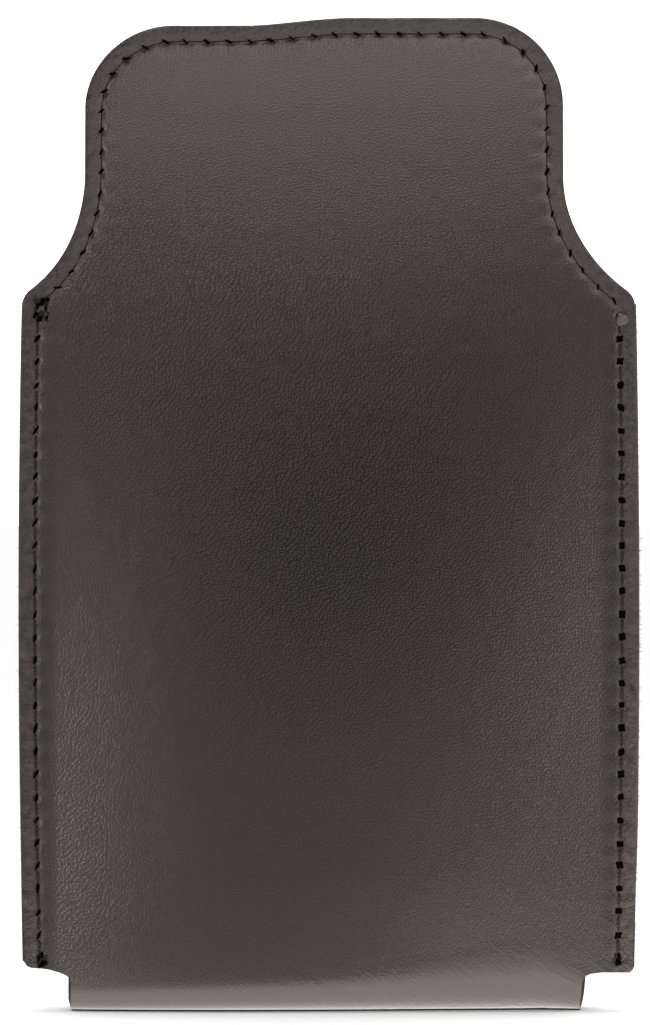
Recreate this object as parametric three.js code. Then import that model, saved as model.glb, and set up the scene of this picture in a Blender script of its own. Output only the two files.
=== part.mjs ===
// A slip-in leather camera case. One skin of leather is folded round the bottom and sewn up both
// sides, and its back panel runs on above the mouth as a tongue that folds over and closes the case.
// Millimetres. +Z runs up the case, -Y is the plain back, +Y is the front, and the origin is in the
// middle of the flat foot under the bottom fold.
import * as THREE from "three";

// ---- driving dimensions ----
const CASE_DEPTH = 23.5; // outside, back bulge to front bulge
const TONGUE_TOP = 180.6;
const TONGUE_HALF_WIDTH = 43.5;
const TONGUE_CORNER_RADIUS = 16;
const SIDE_HALF_WIDTH = 56.3; // the widest place of the sewn sides
const SIDE_TAPER = 0.9; // how much each side draws in at the foot
const FOLD_HALF_WIDTH = 46.4; // the bottom fold between the two corner notches
const SEAM_FOOT = 7.7; // height at which the sewn sides end above the fold
const MOUTH_HEIGHT = 128.5;
const MOUTH_DIP = 5; // thumb dip in the middle of the front panel's edge
const LEATHER = 1.5;
const LINING = 0.6;
const SEAM_GAP = 0.3; // glue line between the two lined panels in a side seam
const BACK_BULGE = 3.2;
const FOLD_RADIUS = 6; // inside the leather, at the bottom fold
const SHOULDER_RADIUS = 26; // hollow curve from the side up to the tongue
const SHOULDER_CORNER_RADIUS = 4;
const FIRST_BEND = 133; // height of the bend line at the tongue's root
const BRIDGE_LENGTH = 19; // from the first bend line to the second
const BEND_CLEARANCE = 0.5; // each piece stops this far short of a bend line
const TONGUE_LEAN = THREE.MathUtils.degToRad(3);
const STITCH_INSET = 3; // seam line to cut edge
const THREAD_WIDTH = 0.9;
const THREAD_HEIGHT = 0.45;

// ---- colours and finishes ----
const leatherFinish = () =>
  new THREE.MeshStandardMaterial({ color: 0x2b2523, roughness: 0.5, metalness: 0 });
const liningFinish = () =>
  new THREE.MeshStandardMaterial({ color: 0x6b5646, roughness: 0.95, metalness: 0 });
const threadFinish = () =>
  new THREE.MeshStandardMaterial({ color: 0x201917, roughness: 0.7, metalness: 0 });

// ---- worked-out places ----
const SEAM_OFFSET = SEAM_GAP / 2 + LINING; // glue line to the face between lining and leather
const FRONT_BULGE = CASE_DEPTH - 2 * (SEAM_OFFSET + LEATHER) - BACK_BULGE;
const SEAM_PLANE = -CASE_DEPTH / 2 + LEATHER + BACK_BULGE + SEAM_OFFSET; // y of the side seams
const PINCH = SIDE_HALF_WIDTH - 2 * STITCH_INSET - 0.3; // where the panels part, inside the seam
const SIDE_MIDDLE = 75;
const SIDE_SPAN = SIDE_MIDDLE - SEAM_FOOT;
const SHOULDER_CENTRE_X = TONGUE_HALF_WIDTH + SHOULDER_RADIUS;
const SHOULDER_CENTRE_Z = FIRST_BEND + BRIDGE_LENGTH;
const SHOULDER_CORNER_Z = 127.6;
const SHOULDER_TURN_Z = 131; // above this the outline follows the hollow curve
const LEAN_START = 126;

const group = new THREE.Group();
const addPiece = (name, geometry, finish) => {
  const piece = new THREE.Mesh(geometry, finish);
  piece.name = name;
  group.add(piece);
};

// ---- outline of the skin: half width at a height ----
const sideHalfWidth = (z) => SIDE_HALF_WIDTH - SIDE_TAPER * ((z - SIDE_MIDDLE) / SIDE_SPAN) ** 2;

function backHalfWidth(z) {
  if (z < SHOULDER_CORNER_Z) return sideHalfWidth(z);
  if (z < SHOULDER_TURN_Z) {
    const centre = sideHalfWidth(SHOULDER_CORNER_Z) - SHOULDER_CORNER_RADIUS;
    return centre + Math.sqrt(SHOULDER_CORNER_RADIUS ** 2 - (z - SHOULDER_CORNER_Z) ** 2);
  }
  if (z < SHOULDER_CENTRE_Z)
    return SHOULDER_CENTRE_X - Math.sqrt(SHOULDER_RADIUS ** 2 - (z - SHOULDER_CENTRE_Z) ** 2);
  const aboveCorner = Math.max(0, z - (TONGUE_TOP - TONGUE_CORNER_RADIUS));
  const drawnIn = Math.sqrt(Math.max(0, TONGUE_CORNER_RADIUS ** 2 - aboveCorner ** 2));
  return TONGUE_HALF_WIDTH - TONGUE_CORNER_RADIUS + drawnIn;
}

// The front panel's top edge: level at the sides, with a shallow dip for the thumb.
const mouthEdge = (x) =>
  MOUTH_HEIGHT - MOUTH_DIP * Math.cos((Math.min(Math.abs(x) / 34, 1) * Math.PI) / 2) ** 2;

// ---- the face between leather and lining, which both skins are laid on ----
const smooth = (t) => t * t * (3 - 2 * t);
const clamp01 = (t) => Math.min(1, Math.max(0, t));
const backSwell = (x) => Math.max(0, 1 - Math.abs(x / PINCH) ** 2.2) ** 1.1;
const frontSwell = (x) => Math.max(0, 1 - Math.abs(x / PINCH) ** 5) ** 0.75;
const backLean = (z) => {
  const past = Math.max(0, z - LEAN_START);
  return (Math.tan(TONGUE_LEAN) * past ** 2) / (2 * (FIRST_BEND - LEAN_START));
};

function backFace(x, z) {
  const fade = 1 - smooth(clamp01((z - 70) / (FIRST_BEND - 70)));
  return SEAM_PLANE - SEAM_OFFSET - BACK_BULGE * fade * backSwell(x) + backLean(z);
}

const frontFace = (x) => SEAM_PLANE + SEAM_OFFSET + FRONT_BULGE * frontSwell(x);

// Half the gap between the panels, their middle, and the fold's corner radius at x.
function foldAt(x) {
  const back = backFace(x, SEAM_FOOT);
  const front = frontFace(x);
  const half = (front - back) / 2;
  return { half, middle: (front + back) / 2, radius: Math.min(FOLD_RADIUS, half - 0.4) };
}

// A station is one cross line of the skin. Each gives, for a column u from -1 to 1, the point on
// the face between the layers and the direction out of the leather.
const backStation = (z) => (u) => {
  const x = backHalfWidth(z) * u;
  return { at: [x, backFace(x, z), z], out: [0, -1, 0] };
};

const foldStation = (angle, towardsFront) => (u) => {
  const x = FOLD_HALF_WIDTH * u;
  const { half, middle, radius } = foldAt(x);
  const side = towardsFront ? 1 : -1;
  const y = middle + side * (half - radius + radius * Math.cos(angle));
  const z = LEATHER + radius - radius * Math.sin(angle);
  return { at: [x, y, z], out: [0, side * Math.cos(angle), -Math.sin(angle)] };
};

const frontStation = (share) => (u) => {
  const level = SEAM_FOOT + (MOUTH_HEIGHT - SEAM_FOOT) * share;
  const x = sideHalfWidth(Math.min(level, SHOULDER_CORNER_Z)) * u;
  const z = SEAM_FOOT + (mouthEdge(x) - SEAM_FOOT) * share;
  return { at: [x, frontFace(x), z], out: [0, 1, 0] };
};

const tongueStation = (length) => (u) => {
  const z = FIRST_BEND + length;
  const y = backFace(0, FIRST_BEND) + length * Math.sin(TONGUE_LEAN);
  const height = FIRST_BEND + length * Math.cos(TONGUE_LEAN);
  const out = [0, -Math.cos(TONGUE_LEAN), Math.sin(TONGUE_LEAN)];
  return { at: [backHalfWidth(z) * u, y, height], out };
};

// A closed skin between two offsets from the stations' face.
function skin(stations, columns, from, to) {
  const corners = [];
  const layer = (offset) => {
    const rows = stations.map((station) =>
      columns.map((u) => {
        const { at, out } = station(u);
        corners.push(...at.map((value, axis) => value + out[axis] * offset));
        return corners.length / 3 - 1;
      }),
    );
    return rows;
  };
  const outer = layer(to);
  const inner = layer(from);
  const faces = [];
  const quad = (a, b, c, d) => faces.push(a, b, c, a, c, d);
  const last = stations.length - 1;
  const end = columns.length - 1;
  for (let j = 0; j < last; j++) {
    for (let i = 0; i < end; i++) {
      quad(outer[j][i], outer[j + 1][i], outer[j + 1][i + 1], outer[j][i + 1]);
      faces.push(inner[j][i], inner[j + 1][i + 1], inner[j + 1][i]);
      faces.push(inner[j][i], inner[j][i + 1], inner[j + 1][i + 1]);
    }
    quad(outer[j + 1][0], outer[j][0], inner[j][0], inner[j + 1][0]);
    quad(outer[j][end], outer[j + 1][end], inner[j + 1][end], inner[j][end]);
  }
  for (let i = 0; i < end; i++) {
    quad(outer[0][i], outer[0][i + 1], inner[0][i + 1], inner[0][i]);
    quad(outer[last][i + 1], outer[last][i], inner[last][i], inner[last][i + 1]);
  }
  const geometry = new THREE.BufferGeometry();
  geometry.setAttribute("position", new THREE.Float32BufferAttribute(corners, 3));
  geometry.setIndex(faces);
  return geometry;
}

const steps = (from, to, count) =>
  Array.from({ length: count + 1 }, (_, k) => from + ((to - from) * k) / count);
const mirrored = (shares) => [...shares.slice(1).reverse().map((share) => -share), ...shares];

// ---- case: one skin down the back, round the fold and up the front ----
const backHeights = [
  FIRST_BEND - BEND_CLEARANCE,
  SHOULDER_TURN_Z + 0.7,
  SHOULDER_TURN_Z,
  130.4,
  129.4,
  SHOULDER_CORNER_Z,
  ...steps(122, SEAM_FOOT, 9),
];
const quarter = steps(0, Math.PI / 2, 4);
const caseStations = [
  ...backHeights.map(backStation),
  ...quarter.map((angle) => foldStation(angle, false)),
  ...quarter.toReversed().map((angle) => foldStation(angle, true)),
  ...steps(0, 1, 9).map(frontStation),
];
const caseColumns = mirrored([0, 0.2, 0.38, 0.54, 0.66, 0.75, 0.82, 0.87, 0.912, 1]);
addPiece("case_leather", skin(caseStations, caseColumns, 0, LEATHER), leatherFinish());
addPiece("case_lining", skin(caseStations, caseColumns, -LINING, 0), liningFinish());

// ---- tongue: the part that bridges the mouth, and the tip that lies over the front ----
const tongueColumns = mirrored([0, 0.5, 1]);
const bridgeStations = steps(BRIDGE_LENGTH - BEND_CLEARANCE, BEND_CLEARANCE, 7).map(tongueStation);
addPiece("bridge_leather", skin(bridgeStations, tongueColumns, 0, LEATHER), leatherFinish());
addPiece("bridge_lining", skin(bridgeStations, tongueColumns, -LINING, 0), liningFinish());

const tipLength = TONGUE_TOP - FIRST_BEND;
const cornerStart = tipLength - TONGUE_CORNER_RADIUS;
const cornerLengths = steps(Math.PI / 2, 0, 7).map(
  (angle) => cornerStart + TONGUE_CORNER_RADIUS * Math.sin(angle),
);
const tipStations = [...cornerLengths, BRIDGE_LENGTH + BEND_CLEARANCE].map(tongueStation);
addPiece("tip_leather", skin(tipStations, tongueColumns, 0, LEATHER), leatherFinish());
addPiece("tip_lining", skin(tipStations, tongueColumns, -LINING, 0), liningFinish());

// ---- threads: the needle thread lies on the leather and the bobbin thread on the other face ----
// A flat-bottomed strand through points {at, out}, lying on the surface that out points away from.
function strand(points) {
  const corners = [];
  points.forEach(({ at, out }, k) => {
    const here = new THREE.Vector3(...at);
    const before = new THREE.Vector3(...points[Math.max(0, k - 1)].at);
    const after = new THREE.Vector3(...points[Math.min(points.length - 1, k + 1)].at);
    const along = after.sub(before).normalize();
    const up = new THREE.Vector3(...out).normalize();
    const across = new THREE.Vector3().crossVectors(up, along).normalize();
    const halfWidth = THREAD_WIDTH / 2;
    [
      [-halfWidth, 0],
      [halfWidth, 0],
      [halfWidth * 0.6, THREAD_HEIGHT],
      [-halfWidth * 0.6, THREAD_HEIGHT],
    ].forEach(([sideways, height]) => {
      const corner = here.clone().addScaledVector(across, sideways).addScaledVector(up, height);
      corners.push(corner.x, corner.y, corner.z);
    });
  });
  const faces = [];
  const quad = (a, b, c, d) => faces.push(a, b, c, a, c, d);
  for (let k = 0; k < points.length - 1; k++) {
    for (let edge = 0; edge < 4; edge++) {
      const next = (edge + 1) % 4;
      quad(4 * k + edge, 4 * k + next, 4 * k + 4 + next, 4 * k + 4 + edge);
    }
  }
  const tail = 4 * (points.length - 1);
  quad(3, 2, 1, 0);
  quad(tail, tail + 1, tail + 2, tail + 3);
  const geometry = new THREE.BufferGeometry();
  geometry.setAttribute("position", new THREE.Float32BufferAttribute(corners, 3));
  geometry.setIndex(faces);
  return geometry;
}

// A point of a seam on a station's face, set inwards from the cut edge, on the leather or the lining.
function seamPoint(station, x, onLeather) {
  const edge = Math.abs(station(1).at[0]);
  const { at, out } = station(x / edge);
  const offset = onLeather ? LEATHER : -LINING;
  return {
    at: at.map((value, axis) => value + out[axis] * offset),
    out: out.map((value) => (onLeather ? value : -value)),
  };
}

const addThread = (name, points) => addPiece(name, strand(points), threadFinish());

// side seams: two threads to a seam, one on the back panel and one on the front panel
const SEAM_TOP = 126.6;
const TACK_LENGTH = 2.2;
const seamLine = (z) => sideHalfWidth(z) - STITCH_INSET;
const seamHeights = steps(SEAM_FOOT + TACK_LENGTH + 0.6, SEAM_TOP - TACK_LENGTH, 6);
const seamFaces = {
  back: [SEAM_PLANE - SEAM_OFFSET - LEATHER, -1],
  front: [SEAM_PLANE + SEAM_OFFSET + LEATHER, 1],
};
for (const [side, sign] of Object.entries({ left: -1, right: 1 })) {
  for (const [panel, [y, out]] of Object.entries(seamFaces)) {
    const points = seamHeights.map((z) => ({ at: [sign * seamLine(z), y, z], out: [0, out, 0] }));
    addThread(`${side}_seam_thread_${panel}`, points);
  }
}

// mouth: one row along the front panel's edge, through the leather and its lining
const MOUTH_HALF_RUN = 47;
const MOUTH_STANDOFF = 0.3; // clear of the flat facets of the curved panel
const mouthPoint = (offset, out) => (x) => ({
  at: [x, frontFace(x) + offset, mouthEdge(x) - STITCH_INSET],
  out: [0, out, 0],
});
const mouthRun = steps(-MOUTH_HALF_RUN, MOUTH_HALF_RUN, 22);
addThread("mouth_thread_outside", mouthRun.map(mouthPoint(LEATHER + MOUTH_STANDOFF, 1)));
addThread("mouth_thread_inside", mouthRun.map(mouthPoint(-LINING - MOUTH_STANDOFF, -1)));

// tongue border: it starts in each shoulder and runs up and round the tip
const borderHalfWidth = (z) => {
  if (z < SHOULDER_CENTRE_Z) {
    const radius = SHOULDER_RADIUS + STITCH_INSET;
    return SHOULDER_CENTRE_X - Math.sqrt(radius ** 2 - (z - SHOULDER_CENTRE_Z) ** 2);
  }
  const radius = TONGUE_CORNER_RADIUS - STITCH_INSET;
  const aboveCorner = clamp01((z - (TONGUE_TOP - TONGUE_CORNER_RADIUS)) / radius) * radius;
  return TONGUE_HALF_WIDTH - TONGUE_CORNER_RADIUS + Math.sqrt(radius ** 2 - aboveCorner ** 2);
};
const SHOULDER_STANDOFF = 0.08; // clear of the leather's facets where the tongue starts to lean
const shoulderHeights = steps(128.9, FIRST_BEND - BEND_CLEARANCE, 3);
const bridgeLengths = steps(BEND_CLEARANCE, BRIDGE_LENGTH - BEND_CLEARANCE, 5);
for (const [side, sign] of Object.entries({ left: -1, right: 1 })) {
  const shoulder = shoulderHeights.map((z) => {
    const x = sign * borderHalfWidth(z);
    return { at: [x, backFace(x, z) - LEATHER - SHOULDER_STANDOFF, z], out: [0, -1, 0] };
  });
  addThread(`${side}_shoulder_thread`, shoulder);
  for (const [face, onLeather] of Object.entries({ outside: true, inside: false })) {
    const points = bridgeLengths.map((length) =>
      seamPoint(tongueStation(length), sign * borderHalfWidth(FIRST_BEND + length), onLeather),
    );
    addThread(`${side}_bridge_thread_${face}`, points);
  }
}
const tipStart = BRIDGE_LENGTH + BEND_CLEARANCE;
const tipSeamCorner = TONGUE_CORNER_RADIUS - STITCH_INSET;
const leftRun = [
  [-(TONGUE_HALF_WIDTH - STITCH_INSET), tipStart],
  ...steps(0, Math.PI / 2, 6).map((angle) => [
    -(TONGUE_HALF_WIDTH - TONGUE_CORNER_RADIUS) - tipSeamCorner * Math.cos(angle),
    cornerStart + tipSeamCorner * Math.sin(angle),
  ]),
];
const tipRun = [...leftRun, ...leftRun.toReversed().map(([x, length]) => [-x, length])];
for (const [face, onLeather] of Object.entries({ outside: true, inside: false })) {
  const points = tipRun.map(([x, length]) => seamPoint(tongueStation(length), x, onLeather));
  addThread(`tip_thread_${face}`, points);
}

// ---- thread ends: three are back-stitched into a short tack, and one is a melted bead ----
function tackGeometry(halfX, halfZ, height) {
  const dome = new THREE.SphereGeometry(1, 8, 6, 0, Math.PI * 2, 0, Math.PI / 2).toNonIndexed();
  const base = new THREE.CircleGeometry(1, 8).toNonIndexed();
  base.rotateX(Math.PI / 2);
  const places = [...dome.attributes.position.array, ...base.attributes.position.array];
  const geometry = new THREE.BufferGeometry();
  geometry.setAttribute("position", new THREE.Float32BufferAttribute(places, 3));
  return geometry.scale(halfX, height, halfZ).rotateZ(Math.PI);
}

const backSeamFace = SEAM_PLANE - SEAM_OFFSET - LEATHER;
const thread_ends = {
  left_top_tack: { sign: -1, z: SEAM_TOP - 0.8, halfX: 0.9, halfZ: 1.1, height: 0.6 },
  right_top_knot: { sign: 1, z: SEAM_TOP - 0.8, halfX: 1.1, halfZ: 1.1, height: 0.9 },
  left_foot_tack: { sign: -1, z: SEAM_FOOT + 1.5, halfX: 0.8, halfZ: 1.1, height: 0.6 },
  right_foot_tack: { sign: 1, z: SEAM_FOOT + 1.5, halfX: 0.8, halfZ: 1.1, height: 0.6 },
};
for (const [name, { sign, z, halfX, halfZ, height }] of Object.entries(thread_ends)) {
  const tack = tackGeometry(halfX, halfZ, height);
  tack.translate(sign * seamLine(z), backSeamFace, z);
  addPiece(name, tack, threadFinish());
}

export default group;
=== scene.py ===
import math
import random

import bmesh
import bpy
import numpy as np
from mathutils import Matrix, Vector


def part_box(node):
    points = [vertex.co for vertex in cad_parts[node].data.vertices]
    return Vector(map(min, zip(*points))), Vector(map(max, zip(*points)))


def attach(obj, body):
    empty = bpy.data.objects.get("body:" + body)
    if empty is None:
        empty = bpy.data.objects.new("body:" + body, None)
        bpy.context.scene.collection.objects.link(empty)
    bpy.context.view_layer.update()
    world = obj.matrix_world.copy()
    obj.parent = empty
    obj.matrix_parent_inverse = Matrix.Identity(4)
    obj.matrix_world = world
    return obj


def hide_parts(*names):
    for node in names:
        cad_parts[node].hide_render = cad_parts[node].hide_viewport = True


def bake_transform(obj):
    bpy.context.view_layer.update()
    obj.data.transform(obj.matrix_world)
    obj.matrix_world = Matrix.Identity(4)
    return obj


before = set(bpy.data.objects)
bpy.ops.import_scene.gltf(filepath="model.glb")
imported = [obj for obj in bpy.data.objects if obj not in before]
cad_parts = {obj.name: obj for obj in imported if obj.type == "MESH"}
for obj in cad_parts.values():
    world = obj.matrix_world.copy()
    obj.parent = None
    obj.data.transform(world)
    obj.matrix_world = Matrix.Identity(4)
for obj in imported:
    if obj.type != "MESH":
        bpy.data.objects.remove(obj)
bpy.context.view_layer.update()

# ---- outer leather of the case ----
# One skin of dyed calf, 1.5 mm thick, that runs down the front, round the bottom fold and up the
# back into the tongue. This piece ends half way along the tongue's bridge, where the tip's begins.
case_low, case_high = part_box("case_leather")
tip_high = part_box("tip_leather")[1]

LEATHER = 0.0015
SIDE = case_high[0]  # half width at the widest place of the sewn sides
SIDE_BOW = 0.0009  # how much narrower the sides are at their two ends
WIDEST_HEIGHT = 0.075
BOW_REACH = 0.0673  # from the widest place to either end
FOOT = case_low[2] + 0.0077  # where the sewn sides end above the fold
MOUTH = 0.1285
MOUTH_DIP = 0.005
DIP_HALF_WIDTH = 0.034
PINCH = 0.05  # where the two panels part, inside the side seams
BACK_BULGE = 0.0032
SEAM_OFFSET = 0.00075
SEAM_PLANE = case_low[1] + LEATHER + BACK_BULGE + SEAM_OFFSET
FRONT_BULGE = case_high[1] - LEATHER - SEAM_OFFSET - SEAM_PLANE
FOLD_RADIUS = 0.006
FOLD_HALF_WIDTH = 0.046
FOLD_LEVEL = 0.0075  # height where the fold begins, outside the leather
FIRST_BEND = 0.133  # height of the bend line at the tongue's root
SECOND_BEND = 0.152  # height of the bend line where the tip begins
MID_BRIDGE = (FIRST_BEND + SECOND_BEND) / 2
CURVE_START = 0.1  # above this the back curves slowly away from its plane
LEAN = math.radians(5.5)  # how far the tongue has curled forward at its top
TONGUE_HALF = tip_high[0]
TONGUE_TOP = tip_high[2]
TONGUE_CORNER = 0.016
HOLLOW = 0.026  # radius of the shoulder's hollow curve
SHOULDER_CORNER = 0.004
SHOULDER_CORNER_HEIGHT = 0.12781
SEAM_INSET = 0.003
LINE_STEP = 0.0001  # between points of the lines that the stitching follows


def smooth(t):
    """A rise from 0 to 1 with soft ends."""
    t = np.clip(t, 0, 1)
    return t * t * (3 - 2 * t)


def side_half_width(h):
    """Half the width between the sewn sides, which bow out a little."""
    return SIDE - SIDE_BOW * ((np.maximum(h, FOOT) - WIDEST_HEIGHT) / BOW_REACH) ** 2


HOLLOW_CENTRE = (TONGUE_HALF + HOLLOW, SECOND_BEND)
CORNER_CENTRE = (side_half_width(SHOULDER_CORNER_HEIGHT) - SHOULDER_CORNER, SHOULDER_CORNER_HEIGHT)
TURN = math.atan2(HOLLOW_CENTRE[1] - CORNER_CENTRE[1], HOLLOW_CENTRE[0] - CORNER_CENTRE[0])
TURN_HEIGHT = CORNER_CENTRE[1] + SHOULDER_CORNER * math.sin(TURN)


def back_half_width(h):
    """Half the width of the back at h, which is measured up the leather."""
    rise = np.clip(h - CORNER_CENTRE[1], 0, SHOULDER_CORNER)
    corner = CORNER_CENTRE[0] + np.sqrt(SHOULDER_CORNER**2 - rise**2)
    drop = np.clip(HOLLOW_CENTRE[1] - h, 0, HOLLOW)
    hollow = HOLLOW_CENTRE[0] - np.sqrt(HOLLOW**2 - drop**2)
    above = np.where(h < TURN_HEIGHT, corner, hollow)
    return np.where(h < CORNER_CENTRE[1], side_half_width(h), above)


def edge_line(inset):
    """A line inset inside the cut edge, from the foot up to the middle of the tongue's top."""
    sides = np.arange(0, CORNER_CENTRE[1], LINE_STEP)
    turning = np.linspace(0, TURN, 40)
    hollow = np.linspace(math.pi + TURN, math.pi, 160)
    quarter = np.linspace(0, math.pi / 2, 160)
    across = TONGUE_HALF - TONGUE_CORNER
    up = TONGUE_TOP - TONGUE_CORNER
    x = np.concatenate([
        side_half_width(sides) - inset,
        CORNER_CENTRE[0] + (SHOULDER_CORNER - inset) * np.cos(turning),
        HOLLOW_CENTRE[0] + (HOLLOW + inset) * np.cos(hollow),
        across + (TONGUE_CORNER - inset) * np.cos(quarter),
        [0],
    ])
    h = np.concatenate([
        sides,
        CORNER_CENTRE[1] + (SHOULDER_CORNER - inset) * np.sin(turning),
        HOLLOW_CENTRE[1] + (HOLLOW + inset) * np.sin(hollow),
        up + (TONGUE_CORNER - inset) * np.sin(quarter),
        [TONGUE_TOP - inset],
    ])
    run = np.concatenate([[0], np.cumsum(np.hypot(np.diff(x), np.diff(h)))])
    even = np.arange(0, run[-1], LINE_STEP)
    return np.column_stack([np.interp(even, run, x), np.interp(even, run, h)])


def nearest(x, h, line):
    """Distance to a line of even points, and how far along it the nearest point is."""
    distance = np.empty(len(x))
    along = np.empty(len(x))
    batch = 2000
    for start in range(0, len(x), batch):
        part = slice(start, start + batch)
        gaps = np.hypot(x[part, None] - line[None, :, 0], h[part, None] - line[None, :, 1])
        best = gaps.argmin(axis=1)
        distance[part] = gaps[np.arange(len(best)), best]
        along[part] = best * LINE_STEP
    return distance, along


cut_edge_line = edge_line(0)
seam_line = edge_line(SEAM_INSET)
SEAM_RUN = len(seam_line) * LINE_STEP
FIRST_SIDE_HOLE = 0.0098
LAST_SIDE_HOLE = 0.1262
SIDE_PITCH = 0.0042
BORDER_PITCH = 0.00395
SHOULDER_HEIGHT = 0.129  # where the side seam hands over to the tongue's border
rng = random.Random(41)


def hole_places(first, last, pitch, shake=0.0002):
    """Places of stitch holes along a line, evenly spaced but for a little shake."""
    count = round((last - first) / pitch)
    step = (last - first) / count
    return np.array([first + k * step + rng.uniform(-shake, shake) for k in range(count + 1)])


shoulder_run = int(np.argmax(seam_line[:, 1] > SHOULDER_HEIGHT)) * LINE_STEP
side_holes = {}
border_holes = {}
for side in (-1, 1):
    side_holes[side] = hole_places(FIRST_SIDE_HOLE, LAST_SIDE_HOLE, SIDE_PITCH)
for side in (-1, 1):
    border_holes[side] = hole_places(shoulder_run, SEAM_RUN - 0.002, BORDER_PITCH)

EDGE_ROUNDING = 0.0008  # how far in from the cut edge the grain side is rubbed round
ROUNDED_DROP = 0.0004
BORDER_WIDTH = 0.012  # how far in from the edge the sewing moves the leather
RIM_WIDTH = 0.0042  # the band outside the seam, scuffed by handling
RIM_FADE = 0.0026


def rounded_edge(edge):
    """How far down the rounding has gone at a distance from the cut edge, from 0 to 1."""
    return 1 - np.sqrt(1 - (1 - np.clip(edge / EDGE_ROUNDING, 0, 1)) ** 2)


def ridge(distance, width):
    """A soft ridge that is 1 at its middle line and falls away on both sides."""
    return np.exp(-((distance / width) ** 2))


def border_relief(x, h):
    """How far sewing and cutting move the grain side near the edge: in at stitches, out between."""
    relief = np.zeros(len(x))
    rim = np.zeros(len(x))
    near = (np.abs(x) > back_half_width(h) - BORDER_WIDTH) | (h > TONGUE_TOP - BORDER_WIDTH)
    px, ph = np.abs(x[near]), h[near]
    edge, _ = nearest(px, ph, cut_edge_line)
    seam, run = nearest(px, ph, seam_line)
    along = np.full(len(px), 1.0)
    for side in (-1, 1):
        here = (x[near] * side) >= 0
        for hole in np.concatenate([side_holes[side], border_holes[side]]):
            along[here] = np.minimum(along[here], np.abs(run[here] - hole))
    groove = 0.00011 * ridge(seam, 0.0005)
    dents = 0.00028 * ridge(seam, 0.00048) * ridge(along, 0.0006)
    wide_dents = 0.00012 * ridge(seam, 0.0022) * ridge(along, 0.0009)
    swelling = 0.0001 * ridge(edge - 0.0015, 0.0008) * (1 - ridge(along, 0.001))
    relief[near] = swelling - ROUNDED_DROP * rounded_edge(edge) - groove - dents - wide_dents
    less_worn = 1 - 0.5 * smooth((ph - 0.125) / 0.02)
    rim[near] = smooth((RIM_WIDTH - edge) / RIM_FADE) * less_worn
    return relief, rim


def mouth_edge(x):
    """Height of the mouth's edge, which dips in the middle for a thumb."""
    outward = np.minimum(np.abs(x) / DIP_HALF_WIDTH, 1)
    return MOUTH - MOUTH_DIP * np.cos(outward * math.pi / 2) ** 2


MOUTH_RUN = 0.047
MOUTH_PITCH = 0.004
mouth_holes = hole_places(-MOUTH_RUN, MOUTH_RUN, MOUTH_PITCH)


def front_relief(x, z):
    """The same for the front panel, along its sides and its mouth edge."""
    edge_side = side_half_width(z) - np.abs(x)
    edge_top = mouth_edge(x) - z
    edge = np.minimum(edge_side, edge_top)
    side_along = np.full(len(x), 1.0)
    for side in (-1, 1):
        here = (x * side) >= 0
        for hole in side_holes[side]:
            side_along[here] = np.minimum(side_along[here], np.abs(z[here] - hole))
    mouth_along = np.full(len(x), 1.0)
    for hole in mouth_holes:
        mouth_along = np.minimum(mouth_along, np.abs(x - hole))
    relief = -ROUNDED_DROP * rounded_edge(edge)
    for seam, along in ((edge_side - SEAM_INSET, side_along), (edge_top - SEAM_INSET, mouth_along)):
        relief = relief - 0.00024 * ridge(seam, 0.0007)
        relief = relief - 0.0004 * ridge(seam, 0.0006) * ridge(along, 0.0006)
    return relief, smooth((RIM_WIDTH - edge) / RIM_FADE)


def back_face(x, h):
    """y of the pasted face of the back, between leather and lining. Its swell leans to the right
    going up, and is drawn in above the fold, more so on the right."""
    crest = np.clip(0.09 + 3.15 * (h - 0.093), -0.17, 0.17)
    share = np.clip(x / PINCH, -1, 1)
    share = (share - crest) / (1 - crest * share)
    swell = np.maximum(0, 1 - np.abs(share) ** 2.2) ** 1.1
    fade = 1 - smooth((h - 0.045) / 0.115)
    drawn_in = 0.42 * (1 - smooth((h + 0.004) / 0.03)) * (0.25 + 0.75 * smooth((x + 0.02) / 0.05))
    return SEAM_PLANE - SEAM_OFFSET - BACK_BULGE * (fade - drawn_in) * swell


def front_face(x):
    """y of the pasted face of the front panel, which is flatter in the middle than the back."""
    swell = np.maximum(0, 1 - np.abs(x / PINCH) ** 5) ** 0.75
    return SEAM_PLANE + SEAM_OFFSET + FRONT_BULGE * swell


def back_point(x, h, lift):
    """A point lift above the pasted face of the back or of the tongue. The tongue was cut a little
    to the left, and lower on its left side."""
    past = np.maximum(h - CURVE_START, 0)
    angle = LEAN * past / (TONGUE_TOP - CURVE_START)
    swept = angle * past / 2
    shift = 0.0008 * smooth((h - 0.128) / 0.02)
    lowered = 0.0014 * smooth((0.005 - x) / 0.02) * smooth((h - 0.15) / 0.03)
    y = back_face(x, h) + swept - lift * np.cos(angle)
    z = h - lowered + lift * np.sin(angle)
    return np.stack(np.broadcast_arrays(x - shift, y, z), axis=-1)


def fold_radius(x):
    """Radius of the fold's pasted face, larger on the right."""
    half = (front_face(x) - back_face(x, FOLD_LEVEL)) / 2
    return np.minimum(FOLD_RADIUS * (0.85 + 0.35 * x / FOLD_HALF_WIDTH), half - 0.0004)


def fold_rise(x):
    """How high the fold reaches up the back, higher on the right, where it was pressed less."""
    return fold_radius(x) * (1.1 + 0.7 * smooth((x + 0.01) / 0.045))


def front_point(x, share):
    """A point on the front panel's pasted face, share of the way from the fold up to the mouth."""
    low = LEATHER + fold_radius(x)
    z = low + (mouth_edge(x) - low) * share
    return np.stack(np.broadcast_arrays(x, front_face(x), z), axis=-1)


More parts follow.
